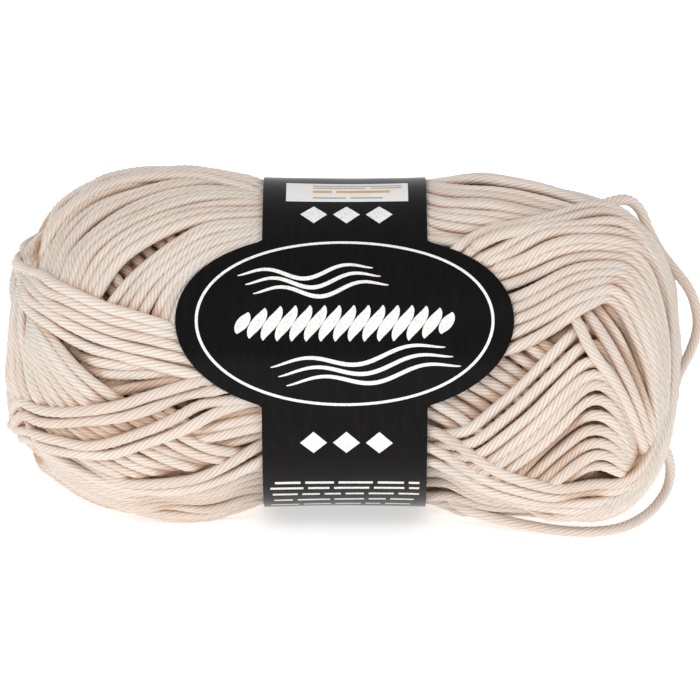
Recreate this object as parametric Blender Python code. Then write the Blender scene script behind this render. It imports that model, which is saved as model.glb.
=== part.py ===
"""Ball of yarn: a pull skein of thick cotton yarn in a die-cut paper band.

The ball lies on its side with its long axis along X. The band's oval panel faces the front,
-Y, and looks a little upwards. Angles go round the long axis: 0 is the front, 90 the top,
180 the back and 270 the bottom. The table top is at z = 0.
"""

import math

import bmesh
import bpy
import numpy as np

# The ball as wound
BALL_LEFT = 0.0610           # from the middle of the band to the left end
BALL_RIGHT = 0.0592          # from the middle of the band to the right end
BULGE_RADIUS = 0.0298        # radius of the two bulges
LEFT_ROUNDNESS = 5.7         # a higher power gives an end with squarer shoulders
RIGHT_ROUNDNESS = 8.0
WAIST_DEPTH = 0.0020         # how far the band draws the middle in
WAIST_END = 0.026            # where the bulges reach their full radius
END_DIMPLE_DEPTH = 0.0050    # the hollow at each end, round which the strands turn
END_DIMPLE_RADIUS = 0.0075
AXIS_HEIGHT = 0.0302         # the band's axis over the table
BULGE_SIDEWAYS = 0.0026      # left bulge set back by this much, right bulge set forward
BULGE_DROP = 0.0011          # both bulges sag, so that the table presses 0.7 mm of them flat
LEFT_DROP = 0.0010           # how much further each end sags
RIGHT_DROP = 0.0024

# The paper band
BAND_HALF_WIDTH = 0.0143
PAPER = 0.0010
BAND_RADIUS = 0.0283         # to the outer face of the paper
PANEL_FLARE = 0.0009         # how far the tips of the oval panel stand out from that
PANEL_HALF_LENGTH = 0.0291
PANEL_HALF_HEIGHT = 0.0174   # measured along the paper
PANEL_ANGLE = 19.5           # the panel's middle looks this far above the horizontal
PAPER_GAP = 0.00035
PAPER_REACH = 0.0020         # the yarn stays pressed down this far beyond the paper's edge
PAPER_RISE = 0.0060          # and comes up to its own shape over this much more
PANEL_MARGIN = 7.0           # degrees added to the panel's outline above and below

# Mesh steps
BALL_STATIONS = 46
BALL_SIDES = 60
BAND_STRIPS = 8
BAND_SIDES = 90

# The main twists of the winding that stand out: the place along X and the angle at which each
# bundle of strands starts and ends, its half width and its height over the rest (mm, degrees)
TWISTS = [
    # name,                 x start, angle, x end, angle, half width, height
    ("left_shoulder",         -52.0,  34.0, -18.0,  66.0, 7.0, 1.4),
    ("left_crossing",         -57.0,  42.0, -22.0,   8.0, 5.0, 2.0),
    ("left_under_crossing",   -56.0,  22.0, -38.0, -14.0, 4.5, 1.4),
    ("left_fan",              -57.0, -12.0, -16.0, -16.0, 5.5, 1.6),
    ("left_under_fan",        -50.0, -38.0, -16.0, -54.0, 6.0, 1.2),
    ("left_back_rise",        -54.0, 150.0, -16.0, 118.0, 6.0, 1.5),
    ("left_back_crossing",    -55.0, 172.0, -16.0, 205.0, 6.0, 1.8),
    ("left_back_fall",        -50.0, 236.0, -16.0, 250.0, 6.0, 1.2),
    ("right_rising",           16.0,  30.0,  49.0,  58.0, 7.0, 1.8),
    ("right_end_turn",         50.0,  58.0,  53.0, -44.0, 4.5, 1.5),
    ("right_diagonal",         37.0,  28.0,  51.0, -42.0, 3.5, 1.5),
    ("right_lower_sweep",      16.0, -24.0,  47.0, -48.0, 5.5, 1.6),
    ("right_top",              16.0,  96.0,  48.0,  74.0, 6.0, 1.2),
    ("right_back_fall",        16.0, 140.0,  50.0, 176.0, 6.5, 1.7),
    ("right_back_crossing",    18.0, 214.0,  52.0, 188.0, 5.5, 1.5),
    ("right_back_under",       16.0, 250.0,  50.0, 236.0, 6.0, 1.2),
]

YARN_COLOUR = (0.76, 0.62, 0.50, 1.0)
PAPER_COLOUR = (0.014, 0.013, 0.012, 1.0)


def clear_scene():
    for thing in list(bpy.data.objects):
        bpy.data.objects.remove(thing, do_unlink=True)


def smooth_step(value, low, high):
    t = np.clip((value - low) / (high - low), 0.0, 1.0)
    return t * t * (3.0 - 2.0 * t)


def even_profile():
    """Half of a squarish oval turned about X: even steps along it from pole to pole."""
    turn = np.linspace(-math.pi / 2, math.pi / 2, 4001)
    left = turn < 0.0
    length = np.where(left, BALL_LEFT, BALL_RIGHT)
    power = np.where(left, LEFT_ROUNDNESS, RIGHT_ROUNDNESS)
    along = np.sign(turn) * length * np.abs(np.sin(turn)) ** (2.0 / power)
    share = np.cos(turn)
    steps = np.hypot(np.diff(along), np.diff(share) * BULGE_RADIUS)
    run = np.concatenate([[0.0], np.cumsum(steps)])
    even = np.linspace(0.0, run[-1], BALL_STATIONS + 1)
    return np.interp(even, run, along), np.interp(even, run, share)


def panel_half_width(angle):
    """Half the paper's width at an angle: the oval where it is wider than the plain band."""
    away = (angle - math.radians(PANEL_ANGLE) + math.pi) % (2.0 * math.pi) - math.pi
    across = np.clip(np.abs(away) * BAND_RADIUS / PANEL_HALF_HEIGHT, 0.0, 1.0)
    return np.maximum(BAND_HALF_WIDTH, PANEL_HALF_LENGTH * np.sqrt(1.0 - across ** 2))


def paper_radius(x):
    """Radius of the paper's outer face, which flares a little under the panel's tips."""
    return BAND_RADIUS + PANEL_FLARE * (x / PANEL_HALF_LENGTH) ** 2


def bulge_centre(x):
    """How far back and how far down each cross-section lies from the band's axis."""
    aside = -BULGE_SIDEWAYS * np.tanh(x / 0.022)
    both = BULGE_DROP * smooth_step(np.abs(x), 0.0, WAIST_END)
    left = LEFT_DROP * smooth_step(-x, WAIST_END, BALL_LEFT)
    right = RIGHT_DROP * smooth_step(x, WAIST_END, BALL_RIGHT)
    return aside, -(both + left + right)


def wound_radius(x, share, angle):
    """Distance from the band's axis to a round section whose centre is set off that axis."""
    waist = WAIST_DEPTH * (1.0 - smooth_step(np.abs(x), BAND_HALF_WIDTH, WAIST_END))
    radius = (BULGE_RADIUS - waist) * share
    aside, down = bulge_centre(x)
    fade = np.minimum(share * 1.4, 1.0)
    aside = aside * fade
    down = down * fade
    toward = -np.cos(angle) * aside + np.sin(angle) * down
    offset = aside ** 2 + down ** 2
    return toward + np.sqrt(np.maximum(toward ** 2 - offset + radius ** 2, 0.0))


def twist_relief(x, share, angle):
    """Height of the bundles: each is a soft ridge along a straight line on the unrolled skin."""
    relief = np.zeros_like(x)
    for _name, x0, a0, x1, a1, half_width, height in TWISTS:
        run_x = (x1 - x0) / 1000.0
        run_s = math.radians(a1 - a0) * BULGE_RADIUS
        middle = math.radians((a0 + a1) / 2.0)
        turned = (angle - middle + math.pi) % (2.0 * math.pi) - math.pi
        px = x - (x0 + x1) / 2000.0
        ps = turned * BULGE_RADIUS
        place = np.clip((px * run_x + ps * run_s) / (run_x ** 2 + run_s ** 2), -0.5, 0.5)
        apart = np.hypot(px - place * run_x, ps - place * run_s) * 1000.0 / half_width
        ridge = height / 1000.0 * np.clip(1.0 - apart ** 2, 0.0, 1.0) ** 2
        relief = np.maximum(relief, ridge)
    return relief * smooth_step(share, 0.15, 0.6)


def pressed_by_paper(x, angle, radius):
    """Keep the yarn under the paper, with a soft shoulder beside its outline."""
    margin = math.radians(PANEL_MARGIN)
    half = np.maximum(panel_half_width(angle + margin), panel_half_width(angle - margin))
    half = np.maximum(half, panel_half_width(angle))
    beside = smooth_step(np.abs(x) - half, PAPER_REACH, PAPER_REACH + PAPER_RISE)
    ceiling = paper_radius(x) - PAPER - PAPER_GAP
    return np.where(radius > ceiling, ceiling + (radius - ceiling) * beside, radius)


def yarn_surface():
    """Rings of points over the ball, one ring for each station along the profile."""
    along, share = even_profile()
    angle = np.radians(np.arange(BALL_SIDES) * 360.0 / BALL_SIDES)
    x, turn = np.meshgrid(along[1:-1], angle, indexing="ij")
    part = np.repeat(share[1:-1, None], BALL_SIDES, axis=1)
    radius = wound_radius(x, part, turn) + twist_relief(x, part, turn)
    radius = pressed_by_paper(x, turn, radius)
    hollow = END_DIMPLE_DEPTH * np.exp(-(radius / END_DIMPLE_RADIUS) ** 2)
    x = x - np.sign(x) * hollow
    points = np.stack([x, -np.cos(turn) * radius, np.sin(turn) * radius], axis=-1)
    poles = [along[0] + END_DIMPLE_DEPTH, along[-1] - END_DIMPLE_DEPTH]
    return points, poles


def skin_rings(bm, points):
    """Quads between rings of points that close on themselves."""
    rings = [[bm.verts.new(point) for point in ring] for ring in points]
    for ring, following in zip(rings, rings[1:]):
        for i in range(len(ring)):
            j = (i + 1) % len(ring)
            bm.faces.new((ring[i], ring[j], following[j], following[i]))
    return rings


def press_flat(bm):
    """Cut away what lies below the table and close each cut with one flat face."""
    everything = bm.verts[:] + bm.edges[:] + bm.faces[:]
    bmesh.ops.bisect_plane(
        bm, geom=everything, dist=1e-7, plane_co=(0.0, 0.0, 0.0), plane_no=(0.0, 0.0, 1.0),
        clear_inner=True,
    )
    rim = [edge for edge in bm.edges if edge.is_boundary]
    bmesh.ops.holes_fill(bm, edges=rim, sides=0)


def finish_mesh(bm, name, colour, roughness):
    """Turn the bmesh into an object with its material; its faces point outwards."""
    bmesh.ops.recalc_face_normals(bm, faces=bm.faces[:])
    mesh = bpy.data.meshes.new(name)
    bm.to_mesh(mesh)
    bm.free()
    mesh.shade_smooth()
    mesh.set_sharp_from_angle(angle=math.radians(40.0))
    material = bpy.data.materials.new(name)
    material.use_nodes = True
    shader = material.node_tree.nodes["Principled BSDF"]
    shader.inputs["Base Color"].default_value = colour
    shader.inputs["Roughness"].default_value = roughness
    shader.inputs["Metallic"].default_value = 0.0
    mesh.materials.append(material)
    thing = bpy.data.objects.new(name, mesh)
    bpy.context.scene.collection.objects.link(thing)
    return thing


def make_yarn_ball():
    points, poles = yarn_surface()
    points[..., 2] += AXIS_HEIGHT
    bm = bmesh.new()
    rings = skin_rings(bm, points)
    for ring, pole in ((rings[0], poles[0]), (rings[-1], poles[1])):
        tip = bm.verts.new((pole, 0.0, AXIS_HEIGHT))
        for i in range(len(ring)):
            bm.faces.new((ring[i], ring[(i + 1) % len(ring)], tip))
    press_flat(bm)
    return finish_mesh(bm, "yarn_ball", YARN_COLOUR, 0.85)


def make_label_band():
    """A closed paper ring: out across the outer face, back across the inner one."""
    angle = np.radians(np.arange(BAND_SIDES) * 360.0 / BAND_SIDES)
    half = panel_half_width(angle)
    strips = np.linspace(-1.0, 1.0, BAND_STRIPS + 1)
    bm = bmesh.new()
    loops = []
    for face, order in (("outer", strips), ("inner", strips[::-1])):
        for strip in order:
            x = strip * half
            radius = paper_radius(x) - (PAPER if face == "inner" else 0.0)
            height = np.sin(angle) * radius + AXIS_HEIGHT
            loops.append(np.stack([x, -np.cos(angle) * radius, height], axis=-1))
    skin_rings(bm, loops + loops[:1])
    bmesh.ops.remove_doubles(bm, verts=bm.verts[:], dist=1e-7)
    return finish_mesh(bm, "label_band", PAPER_COLOUR, 0.40)


def centre_on_table(things):
    """Shift the meshes so that the whole stands over the middle of its own box."""
    corners = np.array([tuple(v.co) for thing in things for v in thing.data.vertices])
    middle = (corners.min(axis=0) + corners.max(axis=0)) / 2.0
    for thing in things:
        for vertex in thing.data.vertices:
            vertex.co.x -= middle[0]
            vertex.co.y -= middle[1]


clear_scene()
centre_on_table([make_yarn_ball(), make_label_band()])
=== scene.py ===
import math

import bmesh
import bpy
import numpy as np
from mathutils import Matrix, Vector
from mathutils.bvhtree import BVHTree


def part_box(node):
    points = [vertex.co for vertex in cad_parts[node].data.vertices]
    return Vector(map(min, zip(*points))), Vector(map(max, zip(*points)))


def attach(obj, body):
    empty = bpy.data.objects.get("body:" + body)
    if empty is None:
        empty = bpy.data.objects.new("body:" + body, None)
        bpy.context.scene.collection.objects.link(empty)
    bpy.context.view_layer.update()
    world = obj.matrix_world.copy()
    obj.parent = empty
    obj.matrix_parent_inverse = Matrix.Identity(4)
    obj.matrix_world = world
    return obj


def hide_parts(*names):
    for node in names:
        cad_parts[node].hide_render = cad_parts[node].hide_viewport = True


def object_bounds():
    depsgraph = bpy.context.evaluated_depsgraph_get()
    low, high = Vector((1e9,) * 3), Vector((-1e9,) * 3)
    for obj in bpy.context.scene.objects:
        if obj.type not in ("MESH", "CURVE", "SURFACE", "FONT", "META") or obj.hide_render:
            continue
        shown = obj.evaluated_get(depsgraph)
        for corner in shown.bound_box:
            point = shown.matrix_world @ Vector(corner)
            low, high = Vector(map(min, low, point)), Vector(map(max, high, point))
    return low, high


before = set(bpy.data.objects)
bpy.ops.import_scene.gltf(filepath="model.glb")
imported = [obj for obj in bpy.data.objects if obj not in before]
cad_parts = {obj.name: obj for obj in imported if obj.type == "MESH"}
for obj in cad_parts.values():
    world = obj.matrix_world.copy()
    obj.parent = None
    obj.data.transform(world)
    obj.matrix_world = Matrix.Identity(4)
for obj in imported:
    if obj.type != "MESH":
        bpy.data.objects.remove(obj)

cad_low, cad_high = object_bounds()
rng = np.random.default_rng(20)

# ---------------------------------------------------------------------------------------------
# The wound form. A pull skein keeps the shape its winder gave it, so every strand is laid over
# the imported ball. A place on it is a run in mm from the middle of the band towards an end,
# and an angle in degrees round the long axis: 0 is the front, 90 the top, 180 the back.
# ---------------------------------------------------------------------------------------------
SPINE = 40.0            # mm; beyond this the places fan out round the end like on a half ball
CAP_RUN = 40.0          # mm of run from there to the middle of the end
POLE = SPINE + CAP_RUN
FORM_STEP = 1.0         # mm of run between measured places
FORM_TURN = 3.0         # degrees between them
MISSED = 0.02           # m, taken for a ray that slips between two faces of the skin

band_low, band_high = (np.array(corner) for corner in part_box("label_band"))
AXIS = np.array([
    (band_low[0] + band_high[0]) / 2.0,
    band_high[1] - (band_high[2] - band_low[2]) / 2.0,
    (band_low[2] + band_high[2]) / 2.0,
])


def lean_at(run):
    """How far a ray leans towards the end: not at all along the spine, then evenly more, up to
    a quarter turn at the middle of the end."""
    return np.clip((np.abs(run) - SPINE) / CAP_RUN, 0.0, 1.0) * math.pi / 2.0


def spine_and_ray(run, angle):
    """Where a ray starts on the spine, and its unit direction: square to the long axis along
    the spine, and leaning towards the end beyond it."""
    lean = lean_at(run)
    turn = np.radians(angle)
    ray = np.stack([
        np.sign(run) * np.sin(lean),
        -np.cos(turn) * np.cos(lean),
        np.sin(turn) * np.cos(lean),
    ], axis=-1)
    start = np.zeros_like(ray)
    start[..., 0] = np.clip(run, -SPINE, SPINE)
    return start, ray


def wrapped_blur(grid, steps, passes):
    """Average each cell with its neighbours, round the axis and along it, several times."""
    for _ in range(passes):
        around = sum(np.roll(grid, k, axis=1) for k in range(-steps, steps + 1))
        grid = around / (2 * steps + 1)
        padded = np.pad(grid, ((steps, steps), (0, 0)), mode="edge")
        grid = sum(padded[k:k + grid.shape[0]] for k in range(2 * steps + 1)) / (2 * steps + 1)
    return grid


form_runs, form_angles = np.meshgrid(
    np.arange(-POLE, POLE + FORM_STEP / 2.0, FORM_STEP), np.arange(0.0, 360.0, FORM_TURN),
    indexing="ij",
)


def measure_form(ball):
    """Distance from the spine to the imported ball's skin, in mm, a little smoothed."""
    skin = BVHTree.FromPolygons(
        [v.co for v in ball.data.vertices], [p.vertices for p in ball.data.polygons]
    )
    start, ray = spine_and_ray(form_runs, form_angles)
    start = start.reshape(-1, 3) / 1000.0 + AXIS
    hits = [skin.ray_cast(Vector(a), Vector(b))[3] for a, b in zip(start, ray.reshape(-1, 3))]
    reach = np.array([MISSED if hit is None else hit for hit in hits]) * 1000.0
    return wrapped_blur(reach.reshape(form_runs.shape), 1, 3)


TUCKS = [
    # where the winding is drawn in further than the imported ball: place, depth and reach
    {"name": "under_the_left", "run": -47.0, "angle": -68.0, "mm": 2.6, "along": 13.0,
     "round": 38.0},
    {"name": "left_shoulder", "run": -55.0, "angle": 58.0, "mm": 1.9, "along": 11.0,
     "round": 40.0},
    {"name": "under_the_right", "run": 54.0, "angle": -62.0, "mm": 2.3, "along": 10.0,
     "round": 38.0},
]


def angle_between(angle, middle):
    """The signed difference of two angles in degrees, from -180 to 180."""
    return np.mod(angle - middle + 180.0, 360.0) - 180.0


def draw_in(form):
    """The form less every tuck, each a round hollow that fades out like a bell curve."""
    for tuck in TUCKS:
        away = angle_between(form_angles, tuck["angle"])
        form = form - tuck["mm"] * np.exp(
            -((form_runs - tuck["run"]) / tuck["along"]) ** 2 - (away / tuck["round"]) ** 2
        )
    return form


FORM = draw_in(measure_form(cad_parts["yarn_ball"]))


def form_at(run, angle):
    """The form's distance from the spine, read between the measured places."""
    rows, columns = FORM.shape
    row = np.clip((run + POLE) / FORM_STEP, 0.0, rows - 1.001)
    column = np.mod(angle, 360.0) / FORM_TURN
    i, j = row.astype(int), column.astype(int)
    u, v = row - i, column - j
    j, k = j % columns, (j + 1) % columns
    low = FORM[i, j] * (1 - v) + FORM[i, k] * v
    high = FORM[i + 1, j] * (1 - v) + FORM[i + 1, k] * v
    return low * (1 - u) + high * u


def place(run, angle, height):
    """A point in metres, height mm over the measured form."""
    start, ray = spine_and_ray(run, angle)
    reach = form_at(run, angle) + height
    return (start + ray * reach[..., None]) / 1000.0 + AXIS


# ---------------------------------------------------------------------------------------------
# The paper's outline, needed before the strands because they are pressed down under it: a
# plain strip round the waist, with an oval panel at the front that looks a little upwards.
# ---------------------------------------------------------------------------------------------
DRAWN_TIGHT = 0.4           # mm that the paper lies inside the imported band's outer face
PAPER_RADIUS = (band_high[2] - band_low[2]) / 2.0 * 1000.0 - DRAWN_TIGHT
STRIP_HALF = 13.8           # mm
PANEL_HALF_LENGTH = 28.1    # mm
PANEL_HALF_HEIGHT = 16.5    # mm along the paper
PANEL_ANGLE = 19.0          # degrees, the panel's middle
PANEL_FLARE = 0.9           # mm that the tips of the panel stand out further


def paper_half_width(angle):
    """Half the paper's width: an ellipse where it is wider than the plain strip."""
    away = np.abs(np.radians(angle_between(angle, PANEL_ANGLE)))
    across = np.clip(away * PAPER_RADIUS / PANEL_HALF_HEIGHT, 0.0, 1.0)
    return np.maximum(STRIP_HALF, PANEL_HALF_LENGTH * np.sqrt(1.0 - across ** 2))


def paper_reach(x):
    """Distance from the axis to the paper's outer face: more by the square of x."""
    return PAPER_RADIUS + PANEL_FLARE * (x / PANEL_HALF_LENGTH) ** 2


# ---------------------------------------------------------------------------------------------
# The strand: soft cotton of eight fine plies twisted together to the left, 2 mm thick and
# pressed a little flat where it lies. Each ply is a ridge that runs round the strand.
# ---------------------------------------------------------------------------------------------
HALF_WIDTH = 1.01           # mm
HALF_THICKNESS = 0.93       # mm
PLIES = 8
PLY_GROOVE = 0.13           # mm, how far the groove between two plies goes in
TWIST_LENGTH = 10.8         # mm for one full turn of a ply
TWIST_SPREAD = 0.07         # how much looser or tighter one strand is than the next
TWIST_DRIFT = 0.22          # turns that the twist runs ahead and falls back along a strand
DRIFT_RATE = 90.0           # radians of that drift for each metre, so it comes back after 70 mm
RING = 2 * PLIES            # points round it: the crest and the groove of each ply
STEP = 1.1                  # mm between rings of points
HEART_DEPTH = 6.8           # mm under the form, where the hidden inside starts
END_DEPTH = 3.2             # mm deeper than that at the ends, where the turns crowd
HEART_CHANGE = (38.0, 62.0)     # mm of run, from where to where it gets deeper


def smooth_step(value, low, high):
    """0 below low, 1 above high, and an S-shaped cubic between them."""
    t = np.clip((value - low) / (high - low), 0.0, 1.0)
    return t * t * (3.0 - 2.0 * t)


def heart_depth(run):
    """Depth of the hidden inside under the form, which grows towards the ends."""
    return HEART_DEPTH + END_DEPTH * smooth_step(np.abs(run), *HEART_CHANGE)


# The pile: how high the yarn lies over the form, in mm, on a map with a cell for each place.
CELL = 0.35                 # mm
RADIUS_MEAN = 29.0          # mm, for the map's step round the axis
DISC_STEP = 0.33            # mm between the places of a disc, seven of them across a strand
map_rows = int(2 * POLE / CELL) + 1
map_columns = int(2 * math.pi * RADIUS_MEAN / CELL)
pile = np.repeat(
    -heart_depth(np.linspace(-POLE, POLE, map_rows))[:, None], map_columns, axis=1
)

disc = np.arange(-3, 4) * DISC_STEP
disc_s, disc_t = (a.ravel() for a in np.meshgrid(disc, disc, indexing="ij"))
disc_reach = np.hypot(disc_s, disc_t)


def cell_at(run, angle):
    """Row and column of the map's cell at each place."""
    i = np.clip(np.rint((run + POLE) / CELL).astype(int), 0, map_rows - 1)
    j = np.rint(np.mod(angle, 360.0) / 360.0 * map_columns).astype(int) % map_columns
    return i, j


def distance_from_axis(run, angle):
    """The part of the form's distance that lies square to the long axis, at least 2 mm."""
    return np.maximum(form_at(run, angle) * np.cos(lean_at(run)), 2.0)


def cells_under(run, angle, reach):
    """The map cells under a disc round each point, and how far each is from the middle."""
    near = disc_reach < reach
    around = np.degrees(disc_t[near] / distance_from_axis(run, angle)[:, None])
    return (*cell_at(run[:, None] + disc_s[near], angle[:, None] + around), disc_reach[near])


FINE = 0.4                  # mm between the points that the piling is worked out on


def soften(values, length):
    """A moving average of about this many mm, applied twice."""
    half = max(1, int(length / FINE / 2))
    kernel = np.ones(2 * half + 1) / (2 * half + 1)
    for _ in range(2):
        values = np.convolve(np.pad(values, half, mode="edge"), kernel, mode="valid")
    return values


def uneven_line(count, size, length):
    """Random values of this size, softened over this length."""
    return soften(rng.normal(0.0, 1.0, count), length) * size


SQUEEZE = 1.4               # mm below a pile's highest, where strands start to be squeezed
LIMIT_CHANGE = (42.0, 60.0)     # mm of run, from where to where the highest changes


def squeezed(height, run, limits):
    """Heights level off towards the limit, from SQUEEZE mm under it. The limit goes over from
    its first value to its second on the way to the end."""
    change = smooth_step(np.abs(run), *LIMIT_CHANGE)
    highest = limits[0] + (limits[1] - limits[0]) * change
    start = highest - SQUEEZE
    over = np.maximum(height - start, 0.0)
    return np.minimum(height, start) + SQUEEZE * np.tanh(over / SQUEEZE)


REST_REACH = 0.75           # mm each side of its middle that a strand rests on
REST_SECTION = (0.85, 0.86)     # half width in mm, and share of the half thickness, of the
                                # ellipse that touches what is below: it sinks in a little
PILE_REACH = 0.95           # mm each side that the strand adds to the pile
PILE_SHARE = 0.9            # of its half thickness
SINK = 0.25                 # mm that it gives where something hard lies under it
BRIDGE = 5.0                # mm of hollow that it spans
BEND = 2.4                  # mm over which it bends
UNDER_PAPER = 0.45          # mm from the paper's outer face to the strands pressed down by it
FREE_AGAIN = 3.0            # mm beside the paper, where they have risen again


def lay(run, angle, limits):
    """Rest a strand on what is already wound, as a soft line that bridges small hollows, and
    add it to the pile. The strand's underside and its top are half ellipses across it.
    Returns the height of its middle over the form at each point."""
    i, j, away = cells_under(run, angle, REST_REACH)
    half, share = REST_SECTION
    underside = HALF_THICKNESS * share * np.sqrt(1.0 - (away / half) ** 2)
    resting = (pile[i, j] + underside).max(axis=1)
    height = resting
    for _ in range(3):
        height = np.maximum(soften(height, BRIDGE), resting - SINK)
    height = squeezed(soften(height, BEND), run, limits)
    x = np.abs(np.clip(run, -SPINE, SPINE))
    ceiling = paper_reach(x) - UNDER_PAPER - HALF_THICKNESS - form_at(run, angle)
    free = smooth_step(x - paper_half_width(angle), 0.0, FREE_AGAIN)
    height = np.where(height > ceiling, ceiling + (height - ceiling) * free, height)
    i, j, away = cells_under(run, angle, PILE_REACH)
    top = HALF_THICKNESS * PILE_SHARE * np.sqrt(1.0 - away ** 2)
    np.maximum.at(pile, (i, j), height[:, None] + top)
    return height


def smooth_route(points, count=160):
    """A Catmull-Rom curve through the route's points, in steps that are even in number from
    each point to the next."""
    points = np.array(points, float)
    ends = np.vstack([2 * points[0] - points[1], points, 2 * points[-1] - points[-2]])
    t = np.linspace(0.0, len(points) - 1.0001, count)
    k = t.astype(int)
    f = (t - k)[:, None]
    a, b, c, d = ends[k], ends[k + 1], ends[k + 2], ends[k + 3]
    return 0.5 * (
        2 * b + (c - a) * f + (2 * a - 5 * b + 4 * c - d) * f ** 2
        + (3 * b - a - 3 * c + d) * f ** 3
    )


def length_along(points):
    """The length from the first point to each point of a line."""
    gaps = np.linalg.norm(np.diff(points, axis=0), axis=1)
    return np.concatenate([[0.0], np.cumsum(gaps)])


def read_between(values, at, wanted):
    """Rows of values, known at some places, read between them at the wanted ones."""
    return np.stack([np.interp(wanted, at, column) for column in values.T], axis=1)


def over_the_table(line):
    """The same line, nowhere lower than half a strand over the table."""
    line[:, 2] = np.maximum(line[:, 2], cad_low[2] + HALF_THICKNESS / 1000.0)
    return line


WANDER = (0.8, 9.0)         # mm that a strand strays from its route, and over what length
LIFT = (0.12, 6.0)          # mm that it rises and falls, and over what length
END_DIP = (2.4, 6.0)        # mm that its ends go down into the ball, and over what length


def strand_line(route, limits, step=STEP):
    """Lay one strand along a route, read every FINE mm. Returns its middle line in metres, with
    a point for each step, and the outward directions."""
    length = length_along(place(route[:, 0], route[:, 1], np.zeros(len(route))) * 1000.0)
    run, angle = read_between(route, length, np.arange(0.0, length[-1], FINE)).T
    strayed = uneven_line(len(run), *WANDER) / distance_from_axis(run, angle)
    angle = angle + np.degrees(strayed)
    height = lay(run, angle, limits)
    height = height + uneven_line(len(run), *LIFT)
    index = np.arange(len(run))
    from_end = np.minimum(index, index[::-1]) * FINE
    height = height - END_DIP[0] * (1.0 - smooth_step(from_end, 0.0, END_DIP[1]))
    line = over_the_table(place(run, angle, height))
    outward = spine_and_ray(run, angle)[1]
    pick = np.linspace(0.0, len(run) - 1.0, max(4, int(len(run) * FINE / step)))
    return read_between(line, index, pick), read_between(outward, index, pick)


def plied_tube(line, outward, sides=RING):
    """Rings of points along a line. With RING sides the section is plied and each ring is
    turned by its share of the twist, so every ply keeps two lines of points: its crest and the
    groove. With fewer the tube is plain. Also returns each point's place round the yarn, in
    turns that follow the plies, and the length so far."""
    tangent = np.gradient(line, axis=0)
    tangent /= np.linalg.norm(tangent, axis=1)[:, None]
    across = np.cross(outward, tangent)
    across /= np.linalg.norm(across, axis=1)[:, None]
    up = np.cross(tangent, across)
    length = length_along(line)
    uneven = rng.uniform(-0.5, 0.5) + TWIST_DRIFT * np.sin(
        length * DRIFT_RATE + rng.uniform(0.0, 6.0))
    twist = TWIST_LENGTH * rng.uniform(1.0 - TWIST_SPREAD, 1.0 + TWIST_SPREAD)
    turn = uneven - length * 1000.0 / twist
    spoke = np.arange(sides) / sides
    if sides == RING:
        phi = (turn[:, None] + spoke) * 2 * math.pi
        groove = np.where(np.arange(sides) % 2 == 1, PLY_GROOVE, 0.0)
        round_yarn = np.repeat(spoke[None], len(line), axis=0)
    else:
        phi = np.repeat(spoke[None], len(line), axis=0) * 2 * math.pi
        groove = PLY_GROOVE / 2.0
        round_yarn = spoke - turn[:, None]
    wide = (HALF_WIDTH - groove) / 1000.0 * np.cos(phi)
    high = (HALF_THICKNESS - groove) / 1000.0 * np.sin(phi)
    rings = line[:, None] + wide[..., None] * across[:, None] + high[..., None] * up[:, None]
    return rings, round_yarn, length


def strands_mesh(name, tubes):
    """One mesh of many tubes with like sides: quads between rings, and a many-sided face on
    each end. The grooves are sharp edges. The UV map runs round the yarn and along it."""
    verts, quads, caps, uvs, tones = [], [], [], [], []
    base = 0
    sides = tubes[0][0].shape[1]
    spoke = np.arange(sides)
    following = (spoke + 1) % sides
    for rings, round_yarn, length in tubes:
        n = len(rings)
        verts.append(rings.reshape(-1, 3))
        row = np.arange(n - 1)[:, None] * sides + base
        quads.append(np.stack([
            row + spoke, row + following, row + sides + following, row + sides + spoke,
        ], axis=-1).reshape(-1, 4))
        caps.append(np.stack([spoke[::-1] + base, spoke + base + (n - 1) * sides]))
        along = length[:, None] + rng.uniform(0.0, 5.0)
        flat = np.zeros((n - 1, sides, 4, 2))
        for corner, (rows, more) in enumerate(((0, 0), (0, 1), (1, 1), (1, 0))):
            flat[..., corner, 0] = round_yarn[rows:n - 1 + rows] + more / sides
            flat[..., corner, 1] = along[rows:n - 1 + rows]
        uvs.append(flat.reshape(-1, 2))
        tones.append(np.full(n * sides, rng.uniform(0.0, 1.0)))
        base += n * sides
    quads, caps = np.concatenate(quads), np.concatenate(caps)
    uvs.append(np.zeros((caps.size, 2)))
    mesh = bpy.data.meshes.new(name)
    mesh.vertices.add(base)
    mesh.vertices.foreach_set("co", np.concatenate(verts).astype(np.float32).ravel())
    mesh.loops.add(quads.size + caps.size)
    mesh.loops.foreach_set(
        "vertex_index", np.concatenate([quads.ravel(), caps.ravel()]).astype(np.int32)
    )
    totals = np.concatenate([np.full(len(quads), 4), np.full(len(caps), sides)])
    starts = np.concatenate([[0], np.cumsum(totals)[:-1]])
    mesh.polygons.add(len(totals))
    mesh.polygons.foreach_set("loop_start", starts.astype(np.int32))
    mesh.update(calc_edges=True)
    uv = mesh.uv_layers.new(name="strand")
    uv.uv.foreach_set("vector", np.concatenate(uvs).astype(np.float32).ravel())
    tone = mesh.attributes.new("tone", "FLOAT", "POINT")
    tone.data.foreach_set("value", np.concatenate(tones).astype(np.float32))
    mesh.shade_smooth()
    if sides == RING:
        ends = np.zeros(len(mesh.edges) * 2, np.int32)
        mesh.edges.foreach_get("vertices", ends)
        mesh.attributes.new("sharp_edge", "BOOLEAN", "EDGE")
        in_groove = (ends.reshape(-1, 2) % RING % 2 == 1).all(axis=1)
        mesh.attributes["sharp_edge"].data.foreach_set("value", in_groove)
    mesh.validate()
    return mesh


def linear(code):
    """An sRGB hex colour as linear light."""
    parts = [int(code[k:k + 2], 16) / 255.0 for k in (1, 3, 5)]
    return [p / 12.92 if p <= 0.04045 else ((p + 0.055) / 1.055) ** 2.4 for p in parts] + [1.0]


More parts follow.
